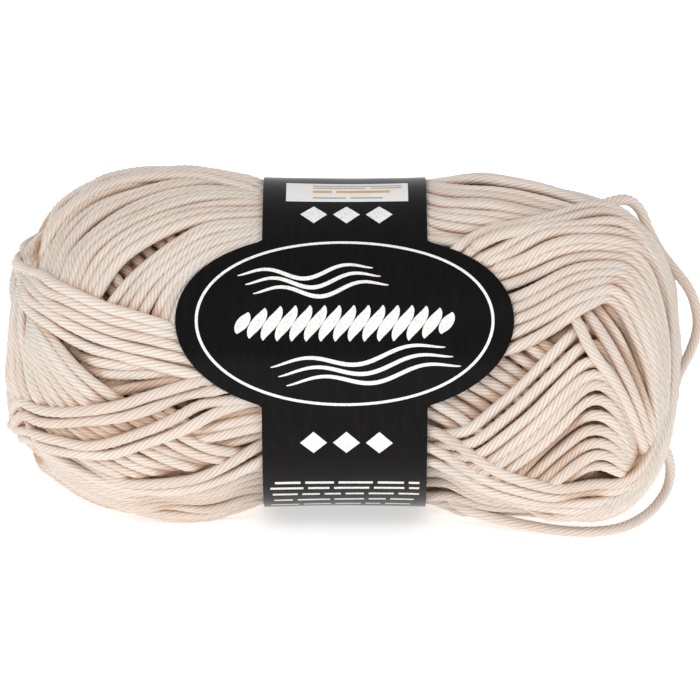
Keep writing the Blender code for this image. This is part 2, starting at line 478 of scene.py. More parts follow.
def node(tree, kind, settings=None, links=None, stops=()):
    """Add a node, set its properties and input values, and link its inputs from other sockets.
    A ramp's stops are (position, hex colour): its two ends, and then any between them."""
    made = tree.nodes.new(kind)
    for key, value in (settings or {}).items():
        if isinstance(key, str) and hasattr(made, key):
            setattr(made, key, value)
        else:
            made.inputs[key].default_value = value
    for key, source in (links or {}).items():
        tree.links.new(source, made.inputs[key])
    for k, (position, code) in enumerate(stops):
        elements = made.color_ramp.elements
        stop = elements[k] if k < 2 else elements.new(position)
        stop.position = position
        stop.color = linear(code)
    return made


def new_material(name, values):
    """A material whose shader has these values on its own sockets."""
    material = bpy.data.materials.new(name)
    material.use_nodes = True
    tree = material.node_tree
    shader = tree.nodes["Principled BSDF"]
    for key, value in values.items():
        shader.inputs[key].default_value = value
    return material, tree, shader


FIBRES = (46.0, 420.0, 1.0)     # noise scale: 46 fibres round the yarn, each 2.4 mm long
DRIFT = (1.0, 90.0, 1.0)        # noise scale: the tone changes over 11 mm


def plied_cotton():
    """Soft unbleached cotton: matt, with a faint sheen from the fibres that lie along each ply, a
    painted shade line in the grooves, a finer painted shade line between the two threads of a ply,
    and a tone that drifts a little along each strand. It is painted warmer and darker the deeper
    it lies between others: painted shade for light that has gone from strand to strand before it
    comes out."""
    material, tree, shader = new_material("plied_cotton_soft_beige", {
        "Roughness": 0.82, "Specular IOR Level": 0.2, "Subsurface Weight": 0.25,
        "Subsurface Radius": (1.0, 0.55, 0.32), "Subsurface Scale": 0.0008,
        "Sheen Weight": 0.12, "Sheen Roughness": 0.45,
    })
    # Painted shade lines: a strong one in the groove between two plies, and a faint one down the
    # middle of each ply.
    uv = node(tree, "ShaderNodeUVMap", {"uv_map": "strand"})
    parts = node(tree, "ShaderNodeSeparateXYZ", links={0: uv.outputs[0]})

    def line_mask(count, start):
        """Lines along the grooves between this many ridges round the yarn: 1 in the groove,
        and 0 on the ridge as far out as start, where 0.5 would be the groove."""
        ply = node(tree, "ShaderNodeMath", {"operation": "MULTIPLY_ADD", 1: float(count), 2: 64.0},
                   {0: parts.outputs[0]})
        cycle = node(tree, "ShaderNodeMath", {"operation": "PINGPONG", 1: 0.5},
                     {0: ply.outputs[0]})
        return node(tree, "ShaderNodeMapRange", {
            "interpolation_type": "SMOOTHSTEP", "From Min": start, "From Max": 0.5},
            {"Value": cycle.outputs[0]})

    groove = line_mask(PLIES, 0.30)
    thread = line_mask(2 * PLIES, 0.26)
    # The fibres, and the tone of each strand, which drifts along it.
    stretch = node(tree, "ShaderNodeMapping", {"Scale": FIBRES}, {"Vector": uv.outputs[0]})
    fibres = node(tree, "ShaderNodeTexNoise", {"Scale": 1.0, "Detail": 4.0, "Roughness": 0.65},
                  {"Vector": stretch.outputs[0]})
    drift_map = node(tree, "ShaderNodeMapping", {"Scale": DRIFT}, {"Vector": uv.outputs[0]})
    drift = node(tree, "ShaderNodeTexNoise", {"Scale": 1.0, "Detail": 2.0},
                 {"Vector": drift_map.outputs[0]})
    tone = node(tree, "ShaderNodeAttribute", {"attribute_name": "tone"})
    mixed = node(tree, "ShaderNodeMath", {"operation": "MULTIPLY_ADD", 1: 0.45},
                 {0: tone.outputs["Fac"], 2: drift.outputs["Fac"]})
    body = node(tree, "ShaderNodeValToRGB", links={0: mixed.outputs[0]},
                stops=((0.35, "#E3D3C6"), (0.95, "#EFE3D9")))
    # The colour: the body with its painted shade lines and its flecks, and painted shade that
    # grows warmer and darker with the depth.
    fine = node(tree, "ShaderNodeMath", {"operation": "MULTIPLY", 1: 0.20},
                {0: thread.outputs[0]})
    shade = node(tree, "ShaderNodeMath", {"operation": "MULTIPLY_ADD", 1: 0.42},
                 {0: groove.outputs[0], 2: fine.outputs[0]})
    # Painted shade: the dark brown #8F7764 goes into the grooves between plies and along the
    # thread lines.
    groove_shaded = node(tree, "ShaderNodeMix", {"data_type": "RGBA", "blend_type": "MIX",
                                         7: linear("#8F7764")},
                 {0: shade.outputs[0], 6: body.outputs[0]})
    fleck = node(tree, "ShaderNodeMapRange", {"From Min": 0.35, "From Max": 0.7,
                                              "To Min": 0.92, "To Max": 1.04},
                 {"Value": fibres.outputs["Fac"]})
    flecked = node(tree, "ShaderNodeVectorMath", {"operation": "SCALE"},
                   {0: groove_shaded.outputs[2], "Scale": fleck.outputs[0]})
    deep = node(tree, "ShaderNodeAttribute", {"attribute_name": "depth"})
    share = node(tree, "ShaderNodeMapRange", {"From Max": 3.0}, {"Value": deep.outputs["Fac"]})
    # Painted shade: the deeper a point lies under the strands around it, the warmer and darker
    # this ramp makes it.
    depth_shade = node(tree, "ShaderNodeValToRGB", links={0: share.outputs[0]},
                  stops=((0.0, "#FFFFFF"), (1.0, "#E6D0BC"), (0.10, "#F1E5DB"),
                         (0.22, "#E4D2C3")))
    final = node(tree, "ShaderNodeVectorMath", {"operation": "MULTIPLY"},
                 {0: flecked.outputs[0], 1: depth_shade.outputs[0]})
    tree.links.new(final.outputs[0], shader.inputs["Base Color"])
    relief = node(tree, "ShaderNodeMath", {"operation": "MULTIPLY_ADD", 1: -0.8},
                  {0: thread.outputs[0], 2: fibres.outputs["Fac"]})
    bump = node(tree, "ShaderNodeBump", {"Strength": 0.4, "Distance": 0.00012},
                {"Height": relief.outputs[0]})
    tree.links.new(bump.outputs[0], shader.inputs["Normal"])
    return material


COTTON = plied_cotton()


def add_piece(name, mesh, material, replaced):
    """Make the object, give it its finish, and fix it to the one body."""
    piece = bpy.data.objects.new(name, mesh)
    bpy.context.scene.collection.objects.link(piece)
    mesh.materials.append(material)
    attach(piece, "root")
    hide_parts(replaced)
    return piece


# ---------------------------------------------------------------------------------------------
# The inside of the ball: hundreds of turns that never show, kept as one soft skin under the
# visible strands, so that no light comes through between them. It is coloured as a darker, warmer
# copy of the cotton: painted shade deep between the strands.
# ---------------------------------------------------------------------------------------------
HEART_ROWS = 120
HEART_STOP = 3.0        # mm of run before the middle of each end, where a flat face closes it
HEART_LIFT = 0.4        # mm over the floor of the pile, so that the lowest strands lie in it


def heart_mesh():
    """The form itself, heart_depth under its own skin, closed at both ends."""
    runs, angles = np.meshgrid(
        np.linspace(-POLE + HEART_STOP, POLE - HEART_STOP, HEART_ROWS),
        np.arange(0.0, 360.0, FORM_TURN), indexing="ij",
    )
    points = place(runs, angles, HEART_LIFT - heart_depth(runs))
    rows, columns = runs.shape
    i = np.arange(rows - 1)[:, None] * columns
    j = np.arange(columns)
    k = (j + 1) % columns
    quads = np.stack([i + j, i + k, i + columns + k, i + columns + j], axis=-1).reshape(-1, 4)
    faces = quads.tolist() + [list(range(columns))[::-1],
                              list(range((rows - 1) * columns, rows * columns))]
    mesh = bpy.data.meshes.new("yarn_inside")
    mesh.from_pydata(points.reshape(-1, 3).tolist(), [], faces)
    mesh.shade_smooth()
    return mesh


def shaded_cotton():
    """The same cotton deep between the strands, painted warmer and darker as shade, with soft
    streaks 1.1 mm across."""
    material, tree, shader = new_material("cotton_painted_shade_between_strands", {"Roughness": 0.95})
    where = node(tree, "ShaderNodeTexCoord")
    streaks = node(tree, "ShaderNodeTexNoise", {"Scale": 900.0, "Detail": 3.0},
                   {"Vector": where.outputs["Object"]})
    # Both colours are painted shade: the cotton darker and warmer, as it looks deep between
    # strands.
    tint = node(tree, "ShaderNodeValToRGB", links={0: streaks.outputs["Fac"]},
                stops=((0.0, "#B48A62"), (1.0, "#D8B08A")))
    tree.links.new(tint.outputs[0], shader.inputs["Base Color"])
    return material


add_piece("yarn_inside", heart_mesh(), shaded_cotton(), "yarn_ball")

# ---------------------------------------------------------------------------------------------
# The under winding: whole turns that go out from the waist, round the end past its middle and
# back on the other side, each a step further round the ball. They cross each other on the way.
# ---------------------------------------------------------------------------------------------
def end_turn(middle, miss, waist):
    """Route of one turn: a great circle round the end that misses its middle by an angle, and
    from the shoulders a straight slant on the unrolled ball, to the waist."""
    miss = math.radians(miss)
    along = np.radians(np.linspace(-90.0, 90.0, 61))
    from_pole = np.degrees(np.arccos(math.cos(miss) * np.cos(along)))
    around = np.degrees(np.arctan2(np.sin(along), math.sin(miss) * np.cos(along)))
    cap = np.stack([POLE - from_pole / 90.0 * CAP_RUN, middle + around], axis=1)
    slant = math.degrees(math.tan(miss) / RADIUS_MEAN)
    out = np.linspace(waist, SPINE, 12)[:-1]
    before = np.stack([out, middle - 90.0 - (SPINE - out) * slant], axis=1)
    after = np.stack([out, middle + 90.0 + (SPINE - out) * slant], axis=1)[::-1]
    return np.concatenate([before, cap, after])


WAIST_START = 11.0      # mm, where the strands have gone out of sight under the paper
WAIST_END = 6.5         # mm, where they stop
PLAIN_SIDES = 8         # the lowest turns are seen only through gaps, so they are plain tubes
PLAIN_STEP = 2.4        # mm
UNDER_LIMIT = (-3.2, -1.6)      # mm over the form; a pile that high is squeezed, not raised.
                                # The second value holds at the ends: turns are shallower there
UNDER_TURNS = [
    # miss: degrees from the end's middle; turns: how many go round; first: where they start
    {"miss": 58.0, "turns": 18, "first": 12.0},
    {"miss": 30.0, "turns": 20, "first": 0.0},
]
MIDDLE_SPREAD = 1.5     # degrees, how unevenly they lie round the end
MISS_SPREAD = 1.0       # degrees, how unevenly they miss its middle


def wind_under(side):
    """Tubes of the lowest turns of one end, -1 for the left and 1 for the right."""
    tubes = []
    for row in UNDER_TURNS:
        for k in range(row["turns"]):
            middle = row["first"] + k * 360.0 / row["turns"] + rng.normal(0.0, MIDDLE_SPREAD)
            route = end_turn(middle, row["miss"] + rng.normal(0.0, MISS_SPREAD), WAIST_END)
            route[:, 0] *= side
            line, outward = strand_line(route, UNDER_LIMIT, step=PLAIN_STEP)
            tubes.append(plied_tube(line, outward, PLAIN_SIDES))
    return tubes


# Over them lie groups of turns side by side. In a group each turn misses the end's middle by
# less than the last one, and starts a little further round. The groups follow one another
# round the end, and leave a small hollow at its middle where the yarn is pulled out.
END_GROUPS = 7
GROUP_TURNS = 6
GROUP_STEP = 154.3      # degrees from one group to the next
TURN_STEP = 3.4         # degrees from one turn to the next in a group
WIDE_MISS = 45.0        # degrees from the end's middle, first turn of a group
NEAR_MISS = 19.0        # last turn of a group
GROUP_STRAND_STEP = 1.35    # mm between rings: these turns are mostly covered again


def wind_end(side):
    """Tubes of the groups of turns of one end."""
    tubes = []
    for group in range(END_GROUPS):
        for k in range(GROUP_TURNS):
            middle = group * GROUP_STEP + k * TURN_STEP
            miss = WIDE_MISS + (NEAR_MISS - WIDE_MISS) * k / (GROUP_TURNS - 1)
            route = end_turn(middle, miss, WAIST_END)
            route[:, 0] *= side
            line, outward = strand_line(route, UNDER_LIMIT, step=GROUP_STRAND_STEP)
            tubes.append(plied_tube(line, outward))
    return tubes


YARN_PIECES = []
for side, word in ((-1, "left"), (1, "right")):
    for name, wind in (("under_winding", wind_under), ("end_winding", wind_end)):
        mesh = strands_mesh(f"{word}_{name}", wind(side))
        YARN_PIECES.append(add_piece(mesh.name, mesh, COTTON, "yarn_ball"))

# ---------------------------------------------------------------------------------------------
# The outer winding: bundles of strands that lie side by side. A row gives the routes of a
# bundle's first and last strand, and the others lie evenly between them. Later rows lie over
# earlier ones. The back of each bulge has the same bundles, turned half round.
# ---------------------------------------------------------------------------------------------
LEFT_BUNDLES = [
    # name, strands, limit of the pile in mm, routes of the first and the last: (run, angle)
    ("under_the_top", 6, -0.4,
     [(-54, 66), (-47, 80), (-40, 87), (-30, 89), (-18, 86), (-11, 82)],
     [(-48, 38), (-45, 51), (-39, 63), (-31, 71), (-22, 76), (-11, 80)]),
    ("shoulder_upper", 6, 0.5,
     [(-60, 38), (-55, 57), (-52, 77), (-46, 88), (-38, 93), (-26, 95), (-11, 98)],
     [(-50, 24), (-48, 41), (-46, 57), (-40, 69), (-33, 76), (-23, 82), (-11, 86)]),
    ("under_the_gap", 13, 0.1,
     [(-47, 38), (-43, 26), (-39, 12)],
     [(-25, 74), (-19, 58), (-14, 46)]),
    ("shoulder_middle", 7, 0.5,
     [(-49, 24), (-47, 39), (-45, 53), (-39, 65), (-31, 73), (-22, 78), (-11, 83)],
     [(-43, 18), (-41, 30), (-38, 41), (-33, 49), (-25, 57), (-11, 66)]),
    ("over_top", 5, 1.2,
     [(-56, 88), (-49, 100), (-42, 106), (-33, 108), (-25, 108), (-11, 104)],
     [(-58, 59), (-51, 73.5), (-44, 82.5), (-37, 87.5), (-27, 86), (-18, 81), (-11, 75)]),
    ("lower_shoulder", 7, 0.6,
     [(-42.2, 14.5), (-38.2, 27.5), (-34.2, 38.5), (-28.2, 48.5), (-22, 56), (-11, 61.5)],
     [(-29, 6), (-28, 19), (-26, 29), (-22, 38), (-11, 50)]),
    ("beside_gap", 4, -0.2,
     [(-48, 14), (-43, 9), (-39, 6), (-32, 5), (-20, 0)],
     [(-44, -8), (-38, -6), (-32, -3), (-27, -1), (-17, -3)]),
    ("descending", 7, 0.6,
     [(-60, 46), (-55, 26), (-49, 10), (-43.5, -1), (-37, -11), (-32.5, -16.5)],
     [(-58, 28), (-56, 10), (-54, -5), (-50, -16), (-47, -24)]),
    ("crossing_lower", 4, 1.1,
     [(-62, 100), (-62, 79), (-58, 55), (-52, 37), (-47, 29), (-40, 20), (-33, 16), (-20, 9)],
     [(-63, 75), (-61, 52), (-57, 32), (-50, 20), (-43, 11), (-36, 7), (-24, 1), (-18, -2)]),
    ("edge_turns", 4, 0.8,
     [(-56, 90), (-60, 68), (-62, 40), (-63, 10), (-62, -14), (-59, -28), (-53, -40)],
     [(-54, 80), (-57, 64), (-59, 42), (-59, 24), (-57, 2), (-54, -12), (-49, -25)]),
    ("crossing_upper", 1, 1.4,
     [(-61, 110), (-62, 88), (-59, 65), (-52, 44), (-48, 35), (-41, 25), (-34, 20), (-21, 12)],
     [(-61, 110), (-62, 88), (-59, 65), (-52, 44), (-48, 35), (-41, 25), (-34, 20), (-21, 12)]),
    ("beside_band", 4, 0.0,
     [(-30, -15), (-26, -17), (-20, -15), (-11, -13)],
     [(-28, -24), (-24, -27), (-19, -28), (-11, -23)]),
    ("short_in_fan", 12, -0.2,
     [(-34, -6), (-30, -11), (-25, -18), (-20, -24)],
     [(-58, -20), (-54, -26), (-49, -33), (-44, -39)]),
    ("short_under_fan", 8, 0.2,
     [(-33, -14), (-29, -19), (-24, -26), (-18, -33), (-13, -38)],
     [(-50, -32), (-46, -35), (-42, -39), (-37, -43), (-33, -48)]),
    ("bottom", 10, 0.8,
     [(-61, -30), (-56, -38), (-51, -45), (-44, -48), (-38, -45), (-29, -42), (-22, -38),
      (-11, -27)],
     [(-55, -64), (-50, -66), (-42, -70), (-31, -74), (-21, -79), (-11, -83)]),
    ("fan_lower", 2, 1.1,
     [(-60, -90), (-58, -62), (-53, -44), (-46, -35), (-39, -31), (-33, -24), (-26, -17),
      (-20, -13), (-11, -10)],
     [(-62, -85), (-61, -62), (-57, -43), (-51, -33), (-44, -29), (-38, -23), (-31, -16),
      (-23, -10), (-11, -6)]),
    ("fan_upper", 2, 1.3,
     [(-63, -72), (-58, -36), (-52, -27), (-44, -18), (-37, -14), (-31, -10), (-24, -6),
      (-14, -3)],
     [(-64, -60), (-59, -26), (-52, -19), (-44, -13), (-37, -10), (-31, -6), (-25, -2),
      (-17, 1)]),
]

RIGHT_BUNDLES = [
    ("under_the_top_back", 7, -0.6,
     [(11, 106), (16, 99), (27, 83), (38, 71), (46, 62)],
     [(11, 60), (15, 56), (20, 52), (26, 48), (32, 44)]),
    ("top_back", 13, 0.3,
     [(11, 112), (15, 104), (26, 88), (38, 76), (47, 67), (53, 60)],
     [(11, 54), (14, 51), (18, 49), (23, 46), (28, 42)]),
    ("belly", 5, 0.4,
     [(11, -88), (25, -84), (37, -80), (46, -76), (53, -72), (60, -60)],
     [(11, -66), (14, -64), (25, -58), (36, -58), (45, -56), (52, -54), (58, -40)]),
    ("patch", 11, -0.2,
     [(26, 22), (31, 15), (34, 10), (38, 5), (42, 0)],
     [(11, -12), (14, -16), (18, -20), (22, -23), (26, -26)]),
    ("herringbone", 11, 0.5,
     [(11, -30), (18, -22), (27, -8), (35, 8), (39, 15), (41.5, 15), (44, 7), (46, -8),
      (48, -26)],
     [(31, -39), (34, -37), (37, -34), (40, -30), (42, -28), (43.5, -29), (45, -32),
      (46, -36), (47, -40)]),
    ("diagonal", 4, 1.2,
     [(40, 32), (43, 25), (47, 14), (49, -3), (50, -17), (49, -30)],
     [(34, 27), (38, 20), (41, 9), (45, -5), (48, -23), (49, -33)]),
    ("lower", 7, 1.0,
     [(11, -22), (14, -23), (21, -25), (28, -30), (36, -35), (42, -37), (47, -34), (50, -24),
      (53, -11), (54, 4)],
     [(11, -62), (14, -58), (24, -52), (36, -52), (45, -50), (50, -47), (54, -36), (57, -18)]),
    ("under_the_upper", 4, -0.4,
     [(11, 44), (18, 42), (28, 44), (36, 48), (44, 50)],
     [(18, 29), (24, 31), (31, 36), (38, 40), (45, 41)]),
    ("upper_inner", 7, 0.8,
     [(22, 7), (28, 10), (34, 16), (40, 23), (43, 26), (46, 20), (49, 3), (50, -15), (49, -26),
      (47, -33)],
     [(18, 32), (25, 35), (33, 39), (43, 44), (48, 43), (51, 32), (53, 11), (52, -13),
      (49, -28), (45, -36)]),
    ("upper_outer", 5, 1.3,
     [(17, 33), (24, 37), (32, 40.5), (42, 45.5), (49, 47), (53, 39), (55, 20), (54, -12),
      (50, -30), (47, -39), (42, -44)],
     [(11, 44), (17, 45), (23, 51), (33, 52), (43, 64), (49, 57), (55, 48), (57, 18),
      (55, -18), (51, -35), (45, -45), (36, -48), (28, -48)]),
]


END_DROP = 1.8          # mm that a bundle's limit drops at the ends: it is pulled tight there
UNEVEN = 0.11           # of the distance between two strands of a bundle


def go_under(points):
    """The same route, with the ends that stop at the paper carried on under it."""
    points = list(points)
    for end, place_in in ((points[0], 0), (points[-1], len(points))):
        if abs(end[0]) <= WAIST_START:
            points.insert(place_in, (math.copysign(WAIST_END, end[0]), end[1]))
    return points


def wind_bundles(rows, turned):
    """Lay every strand of every bundle, turned this many degrees round the axis."""
    tubes = []
    for _name, strands, limit, first, last in rows:
        one, other = smooth_route(go_under(first)), smooth_route(go_under(last))
        for k in range(strands):
            share = (k + rng.normal(0.0, UNEVEN)) / max(strands - 1, 1)
            route = one * (1.0 - share) + other * share
            route[:, 1] += turned
            tubes.append(plied_tube(*strand_line(route, (limit, limit - END_DROP))))
    return tubes


for word, rows in (("left", LEFT_BUNDLES), ("right", RIGHT_BUNDLES)):
    for where, turned in (("back", 180.0), ("front", 0.0)):
        mesh = strands_mesh(f"{word}_{where}_winding", wind_bundles(rows, turned))
        YARN_PIECES.append(add_piece(mesh.name, mesh, COTTON, "yarn_ball"))

# ---------------------------------------------------------------------------------------------
# Two turns hang loose on the right: one stands away from the end in an open loop, the other
# has dropped from under the ball and lies on the table. Both are part of the same yarn, and
# both of their ends run back into the winding.
# ---------------------------------------------------------------------------------------------
SLACK_TURNS = {
    # points in mm from the middle of the table under the ball
    "end_loop": [
        (22.0, -22.0, 50.8), (26.0, -22.2, 52.8), (31.0, -21.6, 53.9), (36.0, -19.2, 54.5),
        (41.0, -14.5, 55.4), (45.0, -9.5, 56.1), (48.5, -5.5, 55.9), (50.9, -3.4, 53.8),
        (52.6, -2.8, 49.9), (54.6, -3.4, 46.4), (57.0, -4.4, 43.4), (59.3, -5.0, 40.4),
        (60.5, -5.4, 37.2),
        (60.8, -5.8, 33.8), (59.6, -6.4, 29.8), (57.6, -7.2, 26.0), (55.6, -8.6, 21.0),
        (52.0, -10.0, 16.0),
    ],
    "table_turn": [
        (18.0, -10.5, 6.0), (20.5, -13.4, 4.2), (25.0, -14.6, 2.9), (31.0, -15.6, 1.7),
        (37.5, -17.2, 1.0), (43.0, -17.6, 0.95), (48.0, -14.6, 1.0), (52.2, -9.4, 1.8),
        (55.2, -4.6, 3.6), (56.6, -2.8, 6.2), (56.6, -3.4, 9.6), (55.2, -5.2, 12.8),
        (52.0, -7.0, 16.0),
    ],
}
BULGE_MIDDLE = np.array([0.030, 0.0, 0.030])     # m, what the turns' flat sides look away from


def slack_tube(points):
    """A smooth line through the points, with even steps."""
    curve = smooth_route(points, 400) / 1000.0
    length = length_along(curve)
    even = np.linspace(0.0, length[-1], int(length[-1] * 1000.0 / STEP))
    line = over_the_table(read_between(curve, length, even))
    return plied_tube(line, line - BULGE_MIDDLE)


slack_tubes = [slack_tube(points) for points in SLACK_TURNS.values()]
add_piece("slack_turns", strands_mesh("slack_turns", slack_tubes), COTTON,
          "yarn_ball")

# ---------------------------------------------------------------------------------------------
# How deep each part of the yarn lies. It is known only now that every strand is in place, and the
# cotton's colour reads it to paint shade deep between the strands.
# ---------------------------------------------------------------------------------------------
def ball_place(points):
    """The reverse of place(): run, angle and distance from the spine for points in metres."""
    offset = (points - AXIS) * 1000.0
    beyond = np.maximum(np.abs(offset[:, 0]) - SPINE, 0.0)
    from_axis = np.hypot(offset[:, 1], offset[:, 2])
    fanned = np.arctan2(beyond, from_axis) / (math.pi / 2.0) * CAP_RUN
    run = np.sign(offset[:, 0]) * (np.minimum(np.abs(offset[:, 0]), SPINE) + fanned)
    angle = np.degrees(np.arctan2(offset[:, 2], -offset[:, 1]))
    return run, angle, np.hypot(beyond, from_axis)


def set_depth(mesh, tops):
    """Give each point its depth in mm under the tops of the strands around it."""
    points = np.zeros(len(mesh.vertices) * 3, np.float32)
    mesh.vertices.foreach_get("co", points)
    run, angle, reach = ball_place(points.reshape(-1, 3).astype(float))
    depth = tops[cell_at(run, angle)] + form_at(run, angle) - reach
    mesh.attributes.new("depth", "FLOAT", "POINT")
    mesh.attributes["depth"].data.foreach_set("value", depth.astype(np.float32))


tops = wrapped_blur(pile, 4, 2)
for piece in YARN_PIECES:
    set_depth(piece.data, tops)

# ---------------------------------------------------------------------------------------------
# The label band: one strip of black coated paper, die cut with an oval panel and glued into a
# ring, with its lap at the back. Its outer face is worked out as a grid, and its inner one too.
# ---------------------------------------------------------------------------------------------
PAPER = 0.30            # mm
LAP_START = 172.0       # degrees, where the strip starts under its own end
LAP = 17.0              # degrees of overlap
LAP_RISE = 0.34         # mm, so that the end lies on the start
LAP_SLOPE = 20.0        # degrees before the lap, where the paper rises


def paper_point(x, angle, lift):
    """A point on the paper: x mm from the middle, lift mm over the outer face. The soft yarn
    under it leaves it with slow shallow waves."""
    turn = np.radians(angle)
    waves = 0.05 * np.sin(3.0 * turn + 0.11 * x) + 0.04 * np.sin(7.0 * turn - 0.17 * x + 1.0)
    radius = (paper_reach(x) + lift + waves) / 1000.0
    return np.stack([
        AXIS[0] + x / 1000.0, AXIS[1] - np.cos(turn) * radius, AXIS[2] + np.sin(turn) * radius,
    ], axis=-1)


def slab(x, angle, lift, thick):
    """Corners and faces of a slab between two like grids on the paper, its four edges closed."""
    rows, columns = x.shape
    count = rows * columns
    outer = paper_point(x, angle, lift)
    inner = paper_point(x, angle, lift - thick)
    index = np.arange(count).reshape(rows, columns)
    a, b, c, d = index[:-1, :-1], index[:-1, 1:], index[1:, 1:], index[1:, :-1]
    top = np.stack([a, b, c, d], axis=-1).reshape(-1, 4)
    rim = np.concatenate([index[0, :], index[1:, -1], index[-1, -2::-1], index[-2:0:-1, 0]])
    following = np.roll(rim, -1)
    side = np.stack([following, rim, rim + count, following + count], axis=-1)
    verts = np.concatenate([outer.reshape(-1, 3), inner.reshape(-1, 3)])
    return verts, np.concatenate([top, top[:, ::-1] + count, side])


def band_mesh(x, angle, lift):
    """The strip as one slab. Its UV map is the paper laid flat, in metres."""
    verts, faces = slab(x, angle, lift, PAPER)
    mesh = bpy.data.meshes.new("paper_band")
    mesh.from_pydata(verts.tolist(), [], faces.tolist())
    uv = np.stack([x.ravel(), np.radians(angle).ravel() * PAPER_RADIUS], axis=1)
    layer = mesh.uv_layers.new(name="paper")
    corners = np.concatenate([uv, uv])[faces.ravel()] / 1000.0
    layer.uv.foreach_set("vector", corners.astype(np.float32).ravel())
    mesh.shade_smooth()
    mesh.set_sharp_from_angle(angle=math.radians(35.0))
    return mesh


def coated_paper():
    """Black coated paper: nearly smooth, with a satin coat that has fine rub marks, 1 mm across
    and 6 mm long, and that shines a little unevenly from patch to patch, 7 mm across."""
    material, tree, shader = new_material("coated_paper_satin_black",
                                          {"Specular IOR Level": 0.11})
    uv = node(tree, "ShaderNodeUVMap", {"uv_map": "paper"})
    rubs = node(tree, "ShaderNodeMapping", {"Scale": (900.0, 160.0, 1.0),
                                            "Rotation": (0.0, 0.0, 0.6)},
                {"Vector": uv.outputs[0]})
    marks = node(tree, "ShaderNodeTexNoise", {"Scale": 1.0, "Detail": 5.0, "Roughness": 0.7},
                 {"Vector": rubs.outputs[0]})
    patches = node(tree, "ShaderNodeTexNoise", {"Scale": 140.0, "Detail": 3.0},
                   {"Vector": uv.outputs[0]})
    rough = node(tree, "ShaderNodeMapRange", {"From Min": 0.3, "From Max": 0.75,
                                              "To Min": 0.18, "To Max": 0.26},
                 {"Value": patches.outputs["Fac"]})
    tint = node(tree, "ShaderNodeValToRGB", links={0: marks.outputs["Fac"]},
                stops=((0.45, "#090808"), (0.85, "#141212")))
    tree.links.new(tint.outputs[0], shader.inputs["Base Color"])
    tree.links.new(rough.outputs[0], shader.inputs["Roughness"])
    bump = node(tree, "ShaderNodeBump", {"Strength": 0.08, "Distance": 0.00005},
                {"Height": marks.outputs["Fac"]})
    tree.links.new(bump.outputs[0], shader.inputs["Normal"])
    return material


lap_end = LAP_START + 360.0
strip_angle, strip_across = np.meshgrid(
    np.linspace(LAP_START, lap_end + LAP, 380), np.linspace(-1.0, 1.0, 19), indexing="ij"
)
strip_x = strip_across * paper_half_width(strip_angle)
strip_lift = LAP_RISE * smooth_step(strip_angle, lap_end - LAP_SLOPE, lap_end)
add_piece("paper_band", band_mesh(strip_x, strip_angle, strip_lift), coated_paper(),
          "label_band")

# ---------------------------------------------------------------------------------------------
# The print on the band, in white ink: a fine oval line, and inside it a length of twisted cord
# between two sets of three waving threads. Diamonds stand above and below the panel, and rows of
# plain dashes near the bottom. Ink is all but flat, so each shape is a skin 0.02 mm proud.
# ---------------------------------------------------------------------------------------------
INK = 0.02                      # mm over the paper
SKIN = 0.04                     # mm, its thickness: the lower half lies in the paper
OVAL_LINE = (24.6, 14.2)        # mm, half its length and half its height
OVAL_LINE_HALF = 0.24           # mm, half the thickness of the line
CORD_PARTS = 15
CORD_PART_WIDTH = 2.42          # mm
CORD_HEIGHT = 6.0               # mm
CORD_MIDDLE = -0.4              # mm up the paper
CORD_SLANT = 1.55               # mm, how far each leaf leans to either side
CORD_LEAF = (0.10, 0.86)        # mm, half a leaf's width at its tip, and how much it swells
CORD_ROUNDING = 0.62            # share of the height that is gone at the cord's ends
THREAD_GAP = 1.3                # mm along the ball from one waving thread to the next
THREAD_FALL = 1.2               # times that gap, how much lower it lies
THREAD_WAVE = 1.2               # mm, half the height of a wave
THREAD_HALF = (0.06, 0.29)      # mm, half a thread's width at its tip, and how much it swells
WAVING_THREADS = [
    # mm from the panel's middle; rise is how much the far end lies higher than the near one
    {"start": -16.5, "end": 6.0, "middle": 6.9, "waves": 1.5, "rise": 1.6},
    {"start": -11.0, "end": 18.0, "middle": -7.6, "waves": 1.5, "rise": 3.4},
]
DIAMOND = 2.25                  # mm from the middle to a corner
DIAMONDS_ACROSS = (-5.2, 0.3, 5.8)      # mm from the middle of the band
DIAMONDS_UP = (-21.6, 20.75)            # mm up the paper
DASH_ROWS = (-45.6, -49.4, -54.2, -60.0, -67.0)     # degrees
DASH_EDGE = 12.6                # mm each side of the middle, where the rows stop
DASH_LENGTH = (2.2, 6.0)        # mm, shortest and longest
DASH_GAP = 0.8                  # mm
DASH_HALF = 0.34                # mm, half a dash's height


def stroke(x, s, half_width):
    """A pen stroke as a grid: three points across a line, square to it, half_width each way.
    x is mm from the middle of the band, and s is mm up the paper from the panel's middle."""
    x, s = np.asarray(x, float), np.asarray(s, float)
    slope = np.stack([np.gradient(x), np.gradient(s)])
    slope /= np.linalg.norm(slope, axis=0)
    side = np.array([-1.0, 0.0, 1.0])
    wide = (np.ones(len(x)) * half_width)[:, None] * side
    return x[:, None] + slope[1][:, None] * wide, s[:, None] - slope[0][:, None] * wide


def ink_mesh(name, grids, lift):
    """Closed thin slabs, one for each grid, in one mesh."""
    verts, faces, base = [], [], 0
    for x, s in grids:
        corners, quads = slab(x, PANEL_ANGLE + np.degrees(s / PAPER_RADIUS), lift, SKIN)
        verts.append(corners)
        faces.append(quads + base)
        base += len(corners)
    mesh = bpy.data.meshes.new(name)
    mesh.from_pydata(np.concatenate(verts).tolist(), [], np.concatenate(faces).tolist())
    return mesh


def facing_out(mesh):
    """The same closed mesh with every face turned outwards."""
    bm = bmesh.new()
    bm.from_mesh(mesh)
    bmesh.ops.recalc_face_normals(bm, faces=bm.faces[:])
    bm.to_mesh(mesh)
    bm.free()
    return mesh


